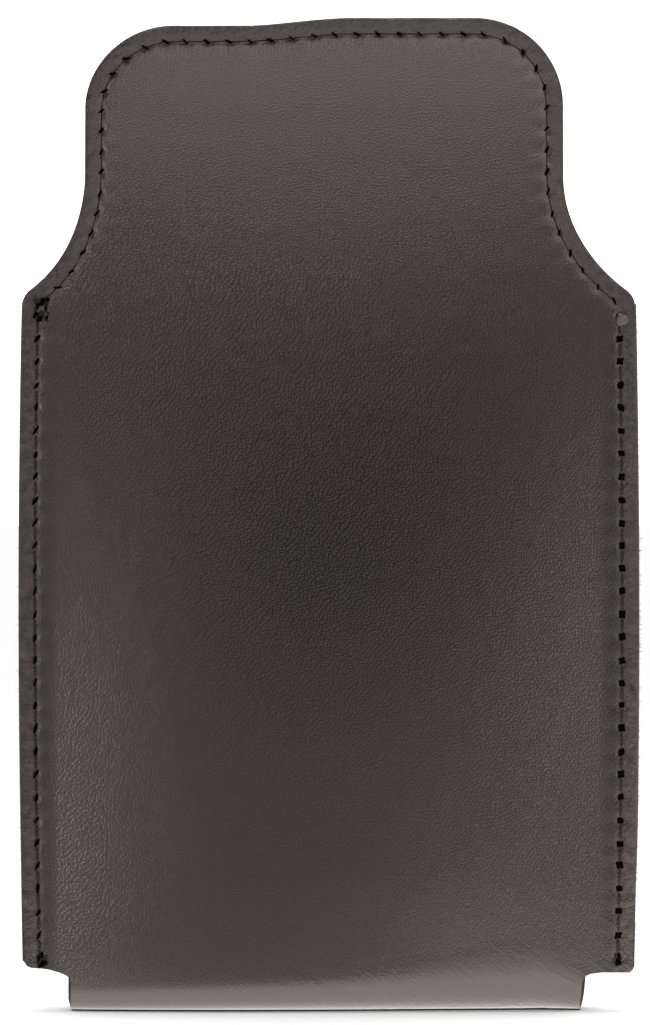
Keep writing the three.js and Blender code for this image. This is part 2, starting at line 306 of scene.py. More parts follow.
def fold_point(x, angle, side):
    """The fold, pressed flatter than round, so its sides slant in towards the foot."""
    back = back_face(x, LEATHER + fold_rise(x))
    front = front_face(x)
    half = (front - back) / 2
    middle = (front + back) / 2
    radius = fold_radius(x)
    y = middle + side * (half - 0.85 * radius * (1 - math.cos(angle)) ** 1.35)
    rise = radius if side > 0 else fold_rise(x)
    z = LEATHER + rise * (1 - math.sin(angle))
    return np.stack(np.broadcast_arrays(x, y, z), axis=-1)


# distances from the cut edge at which the skin has a row or column of points
BORDER = np.array([0, 0.1, 0.25, 0.5, 0.85, 1.3, 1.8, 2.2, 2.55, 2.85, 3.15, 3.45, 3.8, 4.3,
                   5.0, 6.0, 7.2]) / 1000


def columns(left, right, inner):
    """Places across a panel, close together near both edges."""
    within = np.linspace(-left + BORDER[-1] + 0.0015, right - BORDER[-1] - 0.0015, inner)
    return np.concatenate([-left + BORDER, within, right - BORDER[::-1]])


INNER_COLUMNS = 41
FRONT_STEP = 0.001  # between rows of the front panel
BACK_STEP = 0.0007
FOLD_STEPS = 11
LEVEL_ROWS = 0.03  # below this the rows of the back come down to meet the fold


def case_rows():
    """Rows of points over the skin's pasted face: down the front, round the fold and up the back."""
    rows, reliefs, rims = [], [], []
    mouth_steps = np.concatenate([BORDER, np.arange(0.0083, 0.119, FRONT_STEP)])
    for down in mouth_steps:
        share = 1 - down / (MOUTH - FOOT)
        level = FOOT + (MOUTH - FOOT) * share
        half = side_half_width(level)
        x = columns(half, half + 0.00025 * smooth((level - 0.02) / 0.02), INNER_COLUMNS)
        points = front_point(x, share)
        relief, rim = front_relief(x, points[:, 2])
        rows.append(points)
        reliefs.append(relief)
        rims.append(rim)
    low_half = float(side_half_width(FOOT))
    x = columns(low_half, low_half, INNER_COLUMNS)
    quarter = np.linspace(0, math.pi / 2, FOLD_STEPS)
    for side, angles in ((1, quarter), (-1, quarter[::-1])):
        for angle in angles:
            rows.append(fold_point(x, angle, side))
            reliefs.append(x * 0)
            rims.append(x * 0)
    heights = np.arange(FOOT + 0.0005, MID_BRIDGE - 0.0003, BACK_STEP).tolist() + [MID_BRIDGE]
    for height in heights:
        half = float(back_half_width(height))
        x = columns(half, half, INNER_COLUMNS)
        low = LEATHER + fold_rise(x)
        share = np.clip((height - FOOT) / (LEVEL_ROWS - FOOT), 0, 1)
        h = np.where(height < LEVEL_ROWS, low + (LEVEL_ROWS - low) * share, height)
        relief, rim = border_relief(x, h)
        rows.append(back_point(x, h, 0))
        reliefs.append(relief)
        rims.append(rim)
    return np.array(rows), np.array(reliefs), np.array(rims)


# The corner notches, as they are punched out of the flat skin: (x, z) from the flange round to the
# fold's end, right then left, in millimetres.
RIGHT_NOTCH = [(62, 9.4), (57, 9.2), (55.5, 8.2), (55.2, 7.5), (54.5, 7.1), (49.5, 7.1), (47.8, 6.9),
               (46.8, 6.6), (46.2, 6.1), (46, 5.3), (45.9, 3), (45.9, 1.7), (45.5, 0.7), (44.6, 0),
               (42.5, -2), (62, -2)]
LEFT_NOTCH = [(62, 10.2), (57, 10), (55.3, 9.1), (54.8, 8.4), (54, 7.95), (51, 7.7), (49, 7.2),
              (47.6, 6.7), (46.9, 6.2), (46.55, 5.5), (46.6, 3), (46.8, 1.4), (46.6, 0.6), (45.8, -0.1),
              (44.5, -2), (62, -2)]


def inside_outline(x, z, outline):
    """Whether a point is inside a closed outline, by counting the sides that a ray crosses."""
    crossings = 0
    for (ax, az), (bx, bz) in zip(outline, outline[1:] + outline[:1]):
        if (az > z) != (bz > z) and x < ax + (z - az) * (bx - ax) / (bz - az):
            crossings += 1
    return crossings % 2 == 1


def punch_notches(skin):
    """Split the sheet along both notches' outlines, and drop what is inside them."""
    sheet = bmesh.new()
    sheet.from_mesh(skin.data)
    for sign, outline in ((1, RIGHT_NOTCH), (-1, LEFT_NOTCH)):
        outline = [(sign * x / 1000, z / 1000) for x, z in outline]
        reach = 0.0001
        for (ax, az), (bx, bz) in zip(outline, outline[1:-1]):
            left, right = min(ax, bx) - reach, max(ax, bx) + reach
            low, high = min(az, bz) - reach, max(az, bz) + reach
            near = []
            for face in sheet.faces:
                xs = [corner.co.x for corner in face.verts]
                zs = [corner.co.z for corner in face.verts]
                if max(xs) > left and min(xs) < right and max(zs) > low and min(zs) < high:
                    near.append(face)
            parts = set(near)
            for face in near:
                parts.update(face.edges)
                parts.update(face.verts)
            bmesh.ops.bisect_plane(sheet, geom=list(parts), dist=1e-7, plane_co=(ax, 0, az),
                                   plane_no=(bz - az, 0, ax - bx))
        doomed = []
        for face in sheet.faces:
            centre = face.calc_center_median()
            if inside_outline(centre.x, centre.z, outline):
                doomed.append(face)
        bmesh.ops.delete(sheet, geom=doomed, context="FACES")
    sheet.to_mesh(skin.data)
    sheet.free()


def lay_skin(name, rows, reliefs, rims, thickness, materials, notched=False):
    """A grid laid over rows of points on the pasted face and thickened, outwards if thickness is
    positive. The outer side then takes its relief. The three materials are for the outer side, the
    cut edge and the inner side."""
    bpy.ops.object.select_all(action="DESELECT")
    down, across = rows.shape[:2]
    bpy.ops.mesh.primitive_grid_add(x_subdivisions=across - 1, y_subdivisions=down - 1, size=1)
    skin = bpy.context.object
    skin.name = skin.data.name = name
    skin.data.vertices.foreach_set("co", rows.reshape(-1).astype(np.float32))
    for attribute, values in (("rim", rims), ("relief", reliefs)):
        layer = skin.data.attributes.new(attribute, "FLOAT", "POINT")
        layer.data.foreach_set("value", values.reshape(-1).astype(np.float32))
    for material in materials:
        skin.data.materials.append(material)
    if notched:
        punch_notches(skin)
    count = len(skin.data.vertices)
    laid = np.empty(count * 3)
    skin.data.vertices.foreach_get("co", laid)
    thicken = skin.modifiers.new("thickness", "SOLIDIFY")
    thicken.thickness = abs(thickness)
    thicken.offset = math.copysign(1, thickness)
    bpy.ops.object.modifier_apply(modifier="thickness")
    places = np.empty(count * 6)
    skin.data.vertices.foreach_get("co", places)
    places = places.reshape(2, count, 3)
    far = int(np.allclose(places[0], laid.reshape(-1, 3), atol=1e-6))
    if thickness > 0:
        out = places[far] - places[1 - far]
        out /= np.linalg.norm(out, axis=1)[:, None]
        relief = np.empty(count * 2)
        skin.data.attributes["relief"].data.foreach_get("value", relief)
        places[far] += out * relief[:count, None]
        skin.data.vertices.foreach_set("co", places.reshape(-1))
    grain_half = far if thickness > 0 else 1 - far
    for face in skin.data.polygons:
        halves = {index // count for index in face.vertices}
        face.material_index = 1 if len(halves) == 2 else 0 if halves == {grain_half} else 2
    skin.data.update()
    return skin


def finish_smooth(piece):
    """Soft shading that leaves the cut edges crisp."""
    bpy.ops.object.select_all(action="DESELECT")
    piece.select_set(True)
    bpy.context.view_layer.objects.active = piece
    bpy.ops.object.shade_smooth_by_angle(angle=math.radians(42))


def new_material(name, colour, roughness, specular=0.5):
    """A plain finish, with the nodes, links and shader to build it up further."""
    material = bpy.data.materials.new(name)
    material.use_nodes = True
    shader = material.node_tree.nodes["Principled BSDF"]
    shader.inputs["Base Color"].default_value = (*colour, 1)
    shader.inputs["Roughness"].default_value = roughness
    shader.inputs["Specular IOR Level"].default_value = specular
    return material, material.node_tree.nodes, material.node_tree.links, shader


def ramp_between(nodes, links, factor, low, high):
    """A colour that goes from low to high with a factor."""
    mix = nodes.new("ShaderNodeMix")
    mix.data_type = "RGBA"
    links.new(factor, mix.inputs["Factor"])
    mix.inputs["A"].default_value = (*low, 1)
    mix.inputs["B"].default_value = (*high, 1)
    return mix.outputs["Result"]


def grain_material():
    """Smooth dyed calf: a fine net of creases drawn out slantwise with painted shade in them, pores,
    and a satin dressing.
    """
    material, nodes, links, shader = new_material("grain_leather", (0.03, 0.024, 0.021), 0.42)
    place = nodes.new("ShaderNodeTexCoord")

    # the net of creases, swayed a little, plainest over the belly of the back, where their painted
    # shade goes nearly to black; elsewhere it is weaker
    slant = nodes.new("ShaderNodeMapping")
    slant.inputs["Rotation"].default_value = (0, math.radians(-40), 0)
    links.new(place.outputs["Object"], slant.inputs["Vector"])
    turn = nodes.new("ShaderNodeMapping")
    turn.inputs["Rotation"].default_value = (math.radians(90), math.radians(45), 0)
    turn.inputs["Scale"].default_value = (1.2, 1.2, 1.5)
    links.new(slant.outputs["Vector"], turn.inputs["Vector"])
    bend = nodes.new("ShaderNodeTexNoise")
    bend.inputs["Scale"].default_value = 260
    bend.inputs["Detail"].default_value = 2
    links.new(place.outputs["Object"], bend.inputs["Vector"])
    sway = nodes.new("ShaderNodeVectorMath")
    sway.operation = "MULTIPLY_ADD"
    sway.inputs[1].default_value = (0.0012, 0.0012, 0.0012)
    links.new(bend.outputs["Color"], sway.inputs[0])
    links.new(turn.outputs["Vector"], sway.inputs[2])
    creases = nodes.new("ShaderNodeTexVoronoi")
    creases.feature = "DISTANCE_TO_EDGE"
    creases.voronoi_dimensions = "2D"
    creases.inputs["Scale"].default_value = 1600
    creases.inputs["Randomness"].default_value = 0.9
    links.new(sway.outputs["Vector"], creases.inputs["Vector"])
    crease_depth = nodes.new("ShaderNodeMapRange")
    crease_depth.inputs["From Min"].default_value = 0.03
    crease_depth.inputs["From Max"].default_value = 0.42
    links.new(creases.outputs["Distance"], crease_depth.inputs["Value"])
    faint = nodes.new("ShaderNodeMapRange")
    faint.inputs["To Min"].default_value = 0.6
    links.new(crease_depth.outputs["Result"], faint.inputs["Value"])
    centred = nodes.new("ShaderNodeMapping")
    centred.inputs["Location"].default_value = (0, 0, -1.25)
    centred.inputs["Scale"].default_value = (15, 0, 15)
    links.new(place.outputs["Object"], centred.inputs["Vector"])
    belly = nodes.new("ShaderNodeTexGradient")
    belly.gradient_type = "SPHERICAL"
    links.new(centred.outputs["Vector"], belly.inputs["Vector"])
    crease_shade_and_roughness = nodes.new("ShaderNodeMix")
    links.new(belly.outputs["Fac"], crease_shade_and_roughness.inputs["Factor"])
    links.new(faint.outputs["Result"], crease_shade_and_roughness.inputs["A"])
    links.new(crease_depth.outputs["Result"], crease_shade_and_roughness.inputs["B"])

    # creases and pores as relief
    pores = nodes.new("ShaderNodeTexNoise")
    pores.inputs["Scale"].default_value = 2600
    pores.inputs["Detail"].default_value = 3
    links.new(place.outputs["Object"], pores.inputs["Vector"])
    crease_bump = nodes.new("ShaderNodeBump")
    crease_bump.inputs["Strength"].default_value = 0.38
    crease_bump.inputs["Distance"].default_value = 0.00005
    links.new(crease_depth.outputs["Result"], crease_bump.inputs["Height"])
    pore_bump = nodes.new("ShaderNodeBump")
    pore_bump.inputs["Strength"].default_value = 0.3
    pore_bump.inputs["Distance"].default_value = 0.00004
    links.new(pores.outputs["Fac"], pore_bump.inputs["Height"])
    links.new(crease_bump.outputs["Normal"], pore_bump.inputs["Normal"])

    # longer wrinkles where the skin was bent over, low down and to the right
    drawn = nodes.new("ShaderNodeMapping")
    drawn.inputs["Scale"].default_value = (0.3, 1.0, 1.6)
    links.new(slant.outputs["Vector"], drawn.inputs["Vector"])
    wrinkles = nodes.new("ShaderNodeTexNoise")
    wrinkles.inputs["Scale"].default_value = 900
    wrinkles.inputs["Detail"].default_value = 2
    wrinkles.inputs["Distortion"].default_value = 0.6
    links.new(drawn.outputs["Vector"], wrinkles.inputs["Vector"])
    apart = nodes.new("ShaderNodeSeparateXYZ")
    links.new(place.outputs["Object"], apart.inputs["Vector"])
    lowness = nodes.new("ShaderNodeMapRange")
    lowness.inputs["From Min"].default_value = 0.045
    lowness.inputs["From Max"].default_value = 0.006
    links.new(apart.outputs["Z"], lowness.inputs["Value"])
    rightness = nodes.new("ShaderNodeMapRange")
    rightness.inputs["From Min"].default_value = -0.03
    rightness.inputs["From Max"].default_value = 0.025
    links.new(apart.outputs["X"], rightness.inputs["Value"])
    where = nodes.new("ShaderNodeMath")
    where.operation = "MULTIPLY"
    links.new(lowness.outputs["Result"], where.inputs[0])
    links.new(rightness.outputs["Result"], where.inputs[1])
    wrinkle_bump = nodes.new("ShaderNodeBump")
    wrinkle_bump.inputs["Distance"].default_value = 0.00011
    links.new(where.outputs["Value"], wrinkle_bump.inputs["Strength"])
    links.new(wrinkles.outputs["Fac"], wrinkle_bump.inputs["Height"])
    links.new(pore_bump.outputs["Normal"], wrinkle_bump.inputs["Normal"])

    # the dye, uneven in soft clouds, with painted shade darkening the creases nearly to black
    clouds = nodes.new("ShaderNodeTexNoise")
    clouds.inputs["Scale"].default_value = 34
    clouds.inputs["Detail"].default_value = 4
    links.new(place.outputs["Object"], clouds.inputs["Vector"])
    thin_dye = (0.016, 0.012, 0.0094)
    full_dye = (0.0112, 0.0085, 0.0067)
    plateau = ramp_between(nodes, links, clouds.outputs["Fac"], full_dye, thin_dye)
    body = nodes.new("ShaderNodeMix")
    body.data_type = "RGBA"
    links.new(crease_shade_and_roughness.outputs["Result"], body.inputs["Factor"])
    # painted shade: the creases are filled with near-black
    body.inputs["A"].default_value = (0.0002, 0.0002, 0.0002, 1)
    links.new(plateau, body.inputs["B"])

    # the rim outside the seam, mottled and scuffed
    rim = nodes.new("ShaderNodeAttribute")
    rim.attribute_name = "rim"
    edge = nodes.new("ShaderNodeMix")
    edge.data_type = "RGBA"
    links.new(rim.outputs["Fac"], edge.inputs["Factor"])
    links.new(body.outputs["Result"], edge.inputs["A"])
    blotches = nodes.new("ShaderNodeTexNoise")
    blotches.inputs["Scale"].default_value = 620
    blotches.inputs["Detail"].default_value = 6
    blotches.inputs["Roughness"].default_value = 0.62
    links.new(place.outputs["Object"], blotches.inputs["Vector"])
    mottle = nodes.new("ShaderNodeMapRange")
    mottle.inputs["From Min"].default_value = 0.36
    mottle.inputs["From Max"].default_value = 0.64
    links.new(blotches.outputs["Fac"], mottle.inputs["Value"])
    dark_rim = (0.0004, 0.0003, 0.0003)
    worn_rim = (0.023, 0.0152, 0.0126)
    scuffed = ramp_between(nodes, links, mottle.outputs["Result"], dark_rim, worn_rim)
    links.new(scuffed, edge.inputs["B"])
    links.new(edge.outputs["Result"], shader.inputs["Base Color"])
    scuffs = nodes.new("ShaderNodeMath")
    scuffs.operation = "MULTIPLY"
    links.new(mottle.outputs["Result"], scuffs.inputs[0])
    links.new(rim.outputs["Fac"], scuffs.inputs[1])
    scuff_bump = nodes.new("ShaderNodeBump")
    scuff_bump.inputs["Strength"].default_value = 0.6
    scuff_bump.inputs["Distance"].default_value = 0.0005
    links.new(scuffs.outputs["Value"], scuff_bump.inputs["Height"])
    links.new(wrinkle_bump.outputs["Normal"], scuff_bump.inputs["Normal"])
    links.new(scuff_bump.outputs["Normal"], shader.inputs["Normal"])

    # the dressing: satin on the panels, drier on the rim
    rough = nodes.new("ShaderNodeMapRange")
    rough.inputs["To Min"].default_value = 0.23
    rough.inputs["To Max"].default_value = 0.32
    links.new(crease_shade_and_roughness.outputs["Result"], rough.inputs["Value"])
    dry = nodes.new("ShaderNodeMix")
    links.new(rim.outputs["Fac"], dry.inputs["Factor"])
    links.new(rough.outputs["Result"], dry.inputs["A"])
    dry.inputs["B"].default_value = 0.38
    links.new(dry.outputs["Result"], shader.inputs["Roughness"])
    shader.inputs["Specular Tint"].default_value = (1, 0.89, 0.86, 1)
    return material


def fibre_material(name, dark, light, scale):
    """Cut or split leather, or nap: a tangle of short fibres with no shine."""
    material, nodes, links, shader = new_material(name, light, roughness=0.9, specular=0.2)
    place = nodes.new("ShaderNodeTexCoord")
    fibres = nodes.new("ShaderNodeTexNoise")
    fibres.inputs["Scale"].default_value = scale
    fibres.inputs["Detail"].default_value = 5
    fibres.inputs["Distortion"].default_value = 1.5
    links.new(place.outputs["Object"], fibres.inputs["Vector"])
    colour = ramp_between(nodes, links, fibres.outputs["Fac"], dark, light)
    links.new(colour, shader.inputs["Base Color"])
    bump = nodes.new("ShaderNodeBump")
    bump.inputs["Strength"].default_value = 0.7
    bump.inputs["Distance"].default_value = 0.00015
    links.new(fibres.outputs["Fac"], bump.inputs["Height"])
    links.new(bump.outputs["Normal"], shader.inputs["Normal"])
    return material


grain_leather = grain_material()
cut_leather = fibre_material("cut_edge_leather", (0.018, 0.012, 0.009), (0.06, 0.042, 0.032), 1500)
flesh_leather = fibre_material("flesh_side_leather", (0.05, 0.034, 0.025), (0.11, 0.078, 0.058), 900)
leather_finishes = [grain_leather, cut_leather, flesh_leather]

case_sheet = case_rows()
case_skin = lay_skin("case_skin", *case_sheet, LEATHER, leather_finishes, notched=True)
finish_smooth(case_skin)
BEND_REACH = 0.0028  # how far either side of a bend line the leather curves
hinge_y = SEAM_PLANE - SEAM_OFFSET
root_bend = {
    "start": (0, hinge_y, FIRST_BEND - BEND_REACH),
    "end": (0, hinge_y, FIRST_BEND + BEND_REACH),
}
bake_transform(case_skin)
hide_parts("case_leather", "bridge_leather")

# ---- outer leather of the tongue's tip ----
# The rest of the same skin, from the middle of the bridge to the rounded tip, which hangs down in
# front when the case is shut. Border stitching holds it to the lining all round.
TIP_ROWS = 38
TIP_COLUMNS = 79


def tip_rows():
    """Rows of points over the tip's pasted face, drawn in to follow its two round corners."""
    rows, reliefs, rims = [], [], []
    heights = np.concatenate([
        np.linspace(MID_BRIDGE, TONGUE_TOP - BORDER[-1] - 0.0008, TIP_ROWS),
        TONGUE_TOP - BORDER[::-1],
    ])
    for height in heights:
        half = float(back_half_width(min(height, SECOND_BEND)))
        x = columns(half, half, TIP_COLUMNS)
        from_side = TONGUE_CORNER - (TONGUE_HALF - np.abs(x))
        from_top = TONGUE_CORNER - (TONGUE_TOP - height)
        round_off = (from_side > 0) & (from_top > 0)
        reach = np.hypot(np.maximum(from_side, 1e-9), max(from_top, 1e-9))
        drawn = np.where(round_off, np.maximum(from_side, from_top) / reach, 1)
        corner_x = TONGUE_HALF - TONGUE_CORNER + from_side * drawn
        x = np.where(round_off, np.sign(x) * corner_x, x)
        h = np.where(round_off, TONGUE_TOP - TONGUE_CORNER + from_top * drawn, height)
        relief, rim = border_relief(x, h)
        rows.append(back_point(x, h, 0))
        reliefs.append(relief)
        rims.append(rim)
    return np.array(rows), np.array(reliefs), np.array(rims)


tip_sheet = tip_rows()
tip_skin = lay_skin("tip_skin", *tip_sheet, LEATHER, leather_finishes)
finish_smooth(tip_skin)
tip_bend = {
    "start": (0, hinge_y, SECOND_BEND - BEND_REACH),
    "end": (0, hinge_y, SECOND_BEND + BEND_REACH),
}
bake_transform(tip_skin)
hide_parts("tip_leather")

# ---- lining ----
# Thin brown napped cloth pasted to the flesh side all over, so it lines the pocket and shows on the
# inner face of the tongue. It is cut with the leather, and its edge shows as a thin second line.
LINING = 0.0006
lining_cloth = fibre_material("napped_lining", (0.075, 0.047, 0.03), (0.16, 0.105, 0.068), 2200)
lining_finishes = [lining_cloth, lining_cloth, lining_cloth]
for name, sheet, bodies, bend, nodes_replaced in (
    ("case_lining_cloth", case_sheet, ("case", "bridge"), root_bend, ("case_lining", "bridge_lining")),
    ("tip_lining_cloth", tip_sheet, ("bridge", "tip"), tip_bend, ("tip_lining",)),
):
    cloth = lay_skin(name, *sheet, -LINING, lining_finishes, notched=sheet is case_sheet)
    finish_smooth(cloth)
    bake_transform(cloth)
    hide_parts(*nodes_replaced)

# ---- stitches ----
# Waxed synthetic thread, machine lockstitched. Each stitch lies in its own dent and dives into an
# awl slit at both ends, so a seam is a row of short threads with painted-shade slits between them.
thread, nodes, links, shader = new_material("waxed_thread", (0.03, 0.02, 0.016), 0.6, 0.25)
# painted shade: the grooves between the plies are near-black
painted_shade_between_plies = (0.0012, 0.0009, 0.0008)
ply_top = (0.017, 0.0118, 0.0096)
place = nodes.new("ShaderNodeUVMap")
ply = nodes.new("ShaderNodeTexWave")
ply.bands_direction = "DIAGONAL"
ply.inputs["Scale"].default_value = 1.2
links.new(place.outputs["UV"], ply.inputs["Vector"])
bump = nodes.new("ShaderNodeBump")
bump.inputs["Distance"].default_value = 0.00012
links.new(ply.outputs["Fac"], bump.inputs["Height"])
links.new(bump.outputs["Normal"], shader.inputs["Normal"])
colour = ramp_between(nodes, links, ply.outputs["Fac"], painted_shade_between_plies, ply_top)
links.new(colour, shader.inputs["Base Color"])
sunk_thread = new_material("sunk_thread", (0.005, 0.0038, 0.0032), 0.7, 0.15)[0]
# near-black and matt: painted shade for the inside of the awl holes
painted_slit_shade = new_material("awl_slit_painted_shade", (0.002, 0.0015, 0.001), 1.0, 0.0)[0]

# one stitch: a flat-lying length with an end that dives at each side
LYING_LENGTH = 0.62
END_LENGTH = 0.19
DIVE = 0.35
bpy.ops.object.select_all(action="DESELECT")
bpy.ops.mesh.primitive_cube_add(size=1)
stitch = bpy.context.object
stitch.scale = (LYING_LENGTH, 1, 1)
bpy.ops.object.transform_apply(scale=True)
bpy.ops.object.mode_set(mode="EDIT")
bpy.ops.mesh.select_mode(type="FACE")
for sign in (-1, 1):
    shape = bmesh.from_edit_mesh(stitch.data)
    for face in shape.faces:
        face.select_set(face.normal.x * sign > 0.9)
    bmesh.update_edit_mesh(stitch.data)
    dive = (sign * END_LENGTH, 0, -DIVE)
    bpy.ops.mesh.extrude_region_move(TRANSFORM_OT_translate={"value": dive})
    bpy.ops.transform.resize(value=(1, 0.6, 0.6))
bpy.ops.object.mode_set(mode="OBJECT")
rounding = stitch.modifiers.new("rounding", "SUBSURF")
rounding.levels = rounding.render_levels = 1
bpy.ops.object.modifier_apply(modifier="rounding")
for loop in stitch.data.loops:
    corner = stitch.data.vertices[loop.vertex_index].co
    stitch.data.uv_layers[0].data[loop.index].uv = (corner.x * 2.4, corner.y + corner.z)

# one awl slit: a near-black cup of painted shade, pointed at both ends
bpy.ops.object.select_all(action="DESELECT")
bpy.ops.mesh.primitive_cylinder_add(vertices=10, radius=0.5, depth=1, end_fill_type="TRIFAN")
slit = bpy.context.object
for vertex in slit.data.vertices:
    if abs(vertex.co.x) + abs(vertex.co.y) < 0.01:
        vertex.co.z *= 0.3
    else:
        vertex.co.y *= 1 - 0.5 * abs(vertex.co.x)


def on_seam(point_at, first, second):
    """Middle, direction, outward normal and length of a stitch between two places on a surface."""
    a, b = Vector(point_at(*first)), Vector(point_at(*second))
    middle = (a + b) / 2
    along = (b - a).normalized()
    u, v = [(p + q) / 2 for p, q in zip(first, second)]
    nudge = 0.0003
    across = Vector(point_at(u + nudge, v)) - Vector(point_at(u - nudge, v))
    upward = Vector(point_at(u, v + nudge)) - Vector(point_at(u, v - nudge))
    return middle, along, across.cross(upward).normalized(), (b - a).length


def placed(middle, along, up, size, turn=0.0):
    """A matrix that lays a template along a direction, facing up, at a size."""
    up = (up - along * up.dot(along)).normalized()
    across = up.cross(along)
    axes = Matrix((along, across, up)).transposed().to_4x4()
    spin = Matrix.Rotation(turn, 4, "Z")
    return Matrix.Translation(middle) @ axes @ spin @ Matrix.Diagonal((*size, 1))


def sew(name, template, places, material):
    """One piece made of copies of a template, one for each place."""
    seam = bmesh.new()
    for matrix in places:
        copy = template.data.copy()
        copy.transform(matrix)
        seam.from_mesh(copy)
        bpy.data.meshes.remove(copy)
    mesh = bpy.data.meshes.new(name)
    seam.to_mesh(mesh)
    seam.free()
    mesh.materials.clear()
    mesh.materials.append(material)
    mesh.polygons.foreach_set("use_smooth", [True] * len(mesh.polygons))
    piece = bpy.data.objects.new(name, mesh)
    bpy.context.collection.objects.link(piece)
    return piece


def seam_places(point_at, line, out_sign, width, height, sink, gap, slit_size, slit_turn, torn=False):
    """Matrices of the stitches and of the slits of one seam, through its holes in order. A torn
    seam has two crossed cuts at each hole."""
    stitches, slits = [], []
    for first, second in zip(line, line[1:]):
        middle, along, up, length = on_seam(point_at, first, second)
        up = up * out_sign
        size = (length - gap, width * rng.uniform(0.92, 1.06), height)
        turn = math.radians(rng.uniform(-3, 3))
        stitches.append(placed(middle - up * sink, along, up, size, turn))
    for k, hole in enumerate(line):
        other = line[k + 1] if k + 1 < len(line) else line[k - 1]
        _, along, up, _ = on_seam(point_at, hole, other)
        up = up * out_sign
        at = Vector(point_at(*hole)) - up * (sink + 0.00003)
        for cut in range(2 if torn else 1):
            turn = math.radians(slit_turn + 80 * cut + rng.uniform(-15, 15))
            size = [value * rng.uniform(0.78, 1.2) for value in slit_size]
            slits.append(placed(at, along, up, (*size, 0.0005), turn))
    return stitches, slits


# the four faces that thread lies on: outside and inside of the back, outside and inside of the front
def point_on_back(x, h):
    return back_point(np.float64(x), np.float64(h), LEATHER)


def point_under_back(x, h):
    return back_point(np.float64(x), np.float64(h), -LINING)


def point_on_front(x, z):
    return np.array([x, float(front_face(np.float64(x))) + LEATHER, z])


def point_in_front(x, z):
    return np.array([x, float(front_face(np.float64(x))) - LINING, z])


def along_seam(holes, side):
    """Where holes lie on the back, given how far along the seam line each one is."""
    count = np.arange(len(seam_line))
    at = np.interp(holes, count * LINE_STEP, count)
    x = np.interp(at, count, seam_line[:, 0]) * side
    h = np.interp(at, count, seam_line[:, 1])
    return list(zip(x.tolist(), h.tolist()))


# side seams: the needle thread on the back panel, the bobbin thread on the front
for side, word, slit_size, slit_turn, torn in (
    (-1, "left", (0.0018, 0.00055), -22, False),
    (1, "right", (0.0015, 0.00095), -38, True),
):
    line = along_seam(side_holes[side], side)
    back = seam_places(point_on_back, line, 1, width=0.00112, height=0.0007, sink=0.00028,
                       gap=0.0011, slit_size=slit_size, slit_turn=slit_turn, torn=torn)
    front = seam_places(point_on_front, line, -1, width=0.00115, height=0.0007, sink=0.00036,
                        gap=0.0011, slit_size=slit_size, slit_turn=-12)
    sewn = sew(f"{word}_seam_stitches", stitch, back[0] + front[0], thread)
    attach(sewn, "case")
    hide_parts(f"{word}_seam_thread_back", f"{word}_seam_thread_front")
    # the slits: painted shade in the holes
    slits = sew(f"{word}_seam_slits", slit, back[1] + front[1], painted_slit_shade)
    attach(slits, "case")

# mouth seam: one row along the front panel's edge, through leather and lining
line = [(x, float(mouth_edge(np.float64(x))) - SEAM_INSET) for x in mouth_holes]
outside = seam_places(point_on_front, line, -1, width=0.0008, height=0.0006, sink=0.00034,
                      gap=0.0007, slit_size=(0.0012, 0.0005), slit_turn=35)
inside = seam_places(point_in_front, line, 1, width=0.0008, height=0.0005, sink=0.00002,
                     gap=0.0007, slit_size=(0.0009, 0.0004), slit_turn=35)
sewn = sew("mouth_seam_stitches", stitch, outside[0] + inside[0], thread)
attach(sewn, "case")
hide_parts("mouth_thread_outside", "mouth_thread_inside")
# the slits: painted shade in the holes
slits = sew("mouth_seam_slits", slit, outside[1] + inside[1], painted_slit_shade)
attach(slits, "case")

# tongue border: one line from shoulder to shoulder, cut in two where the leather is
border_line = along_seam(border_holes[-1], -1) + along_seam(border_holes[1], 1)[::-1]
outside = seam_places(point_on_back, border_line, 1, width=0.00046, height=0.0006, sink=0.0003,
                      gap=0.0002, slit_size=(0.0015, 0.00042), slit_turn=-34)
inside = seam_places(point_under_back, border_line, -1, width=0.00075, height=0.0005, sink=0.00002,
                     gap=0.0005, slit_size=(0.0009, 0.0004), slit_turn=38)
for part, bodies, bend, replaced in (
    ("lower", ("case", "bridge"), root_bend, (
        "left_shoulder_thread", "right_shoulder_thread",
        "left_bridge_thread_outside", "right_bridge_thread_outside",
        "left_bridge_thread_inside", "right_bridge_thread_inside")),
    ("upper", ("bridge", "tip"), tip_bend, ("tip_thread_outside", "tip_thread_inside")),
):
    for index, (kind, template, material) in enumerate((
        ("stitches", stitch, sunk_thread),
        # the slits carry painted shade in the holes
        ("slits", slit, painted_slit_shade),
    )):
        places = []
        for matrix in outside[index] + inside[index]:
            if (matrix.translation.z < MID_BRIDGE) == (part == "lower"):
                places.append(matrix)
        sewn = sew(f"border_{kind}_{part}", template, places, material)
        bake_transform(sewn)
        if kind == "stitches":
            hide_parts(*replaced)

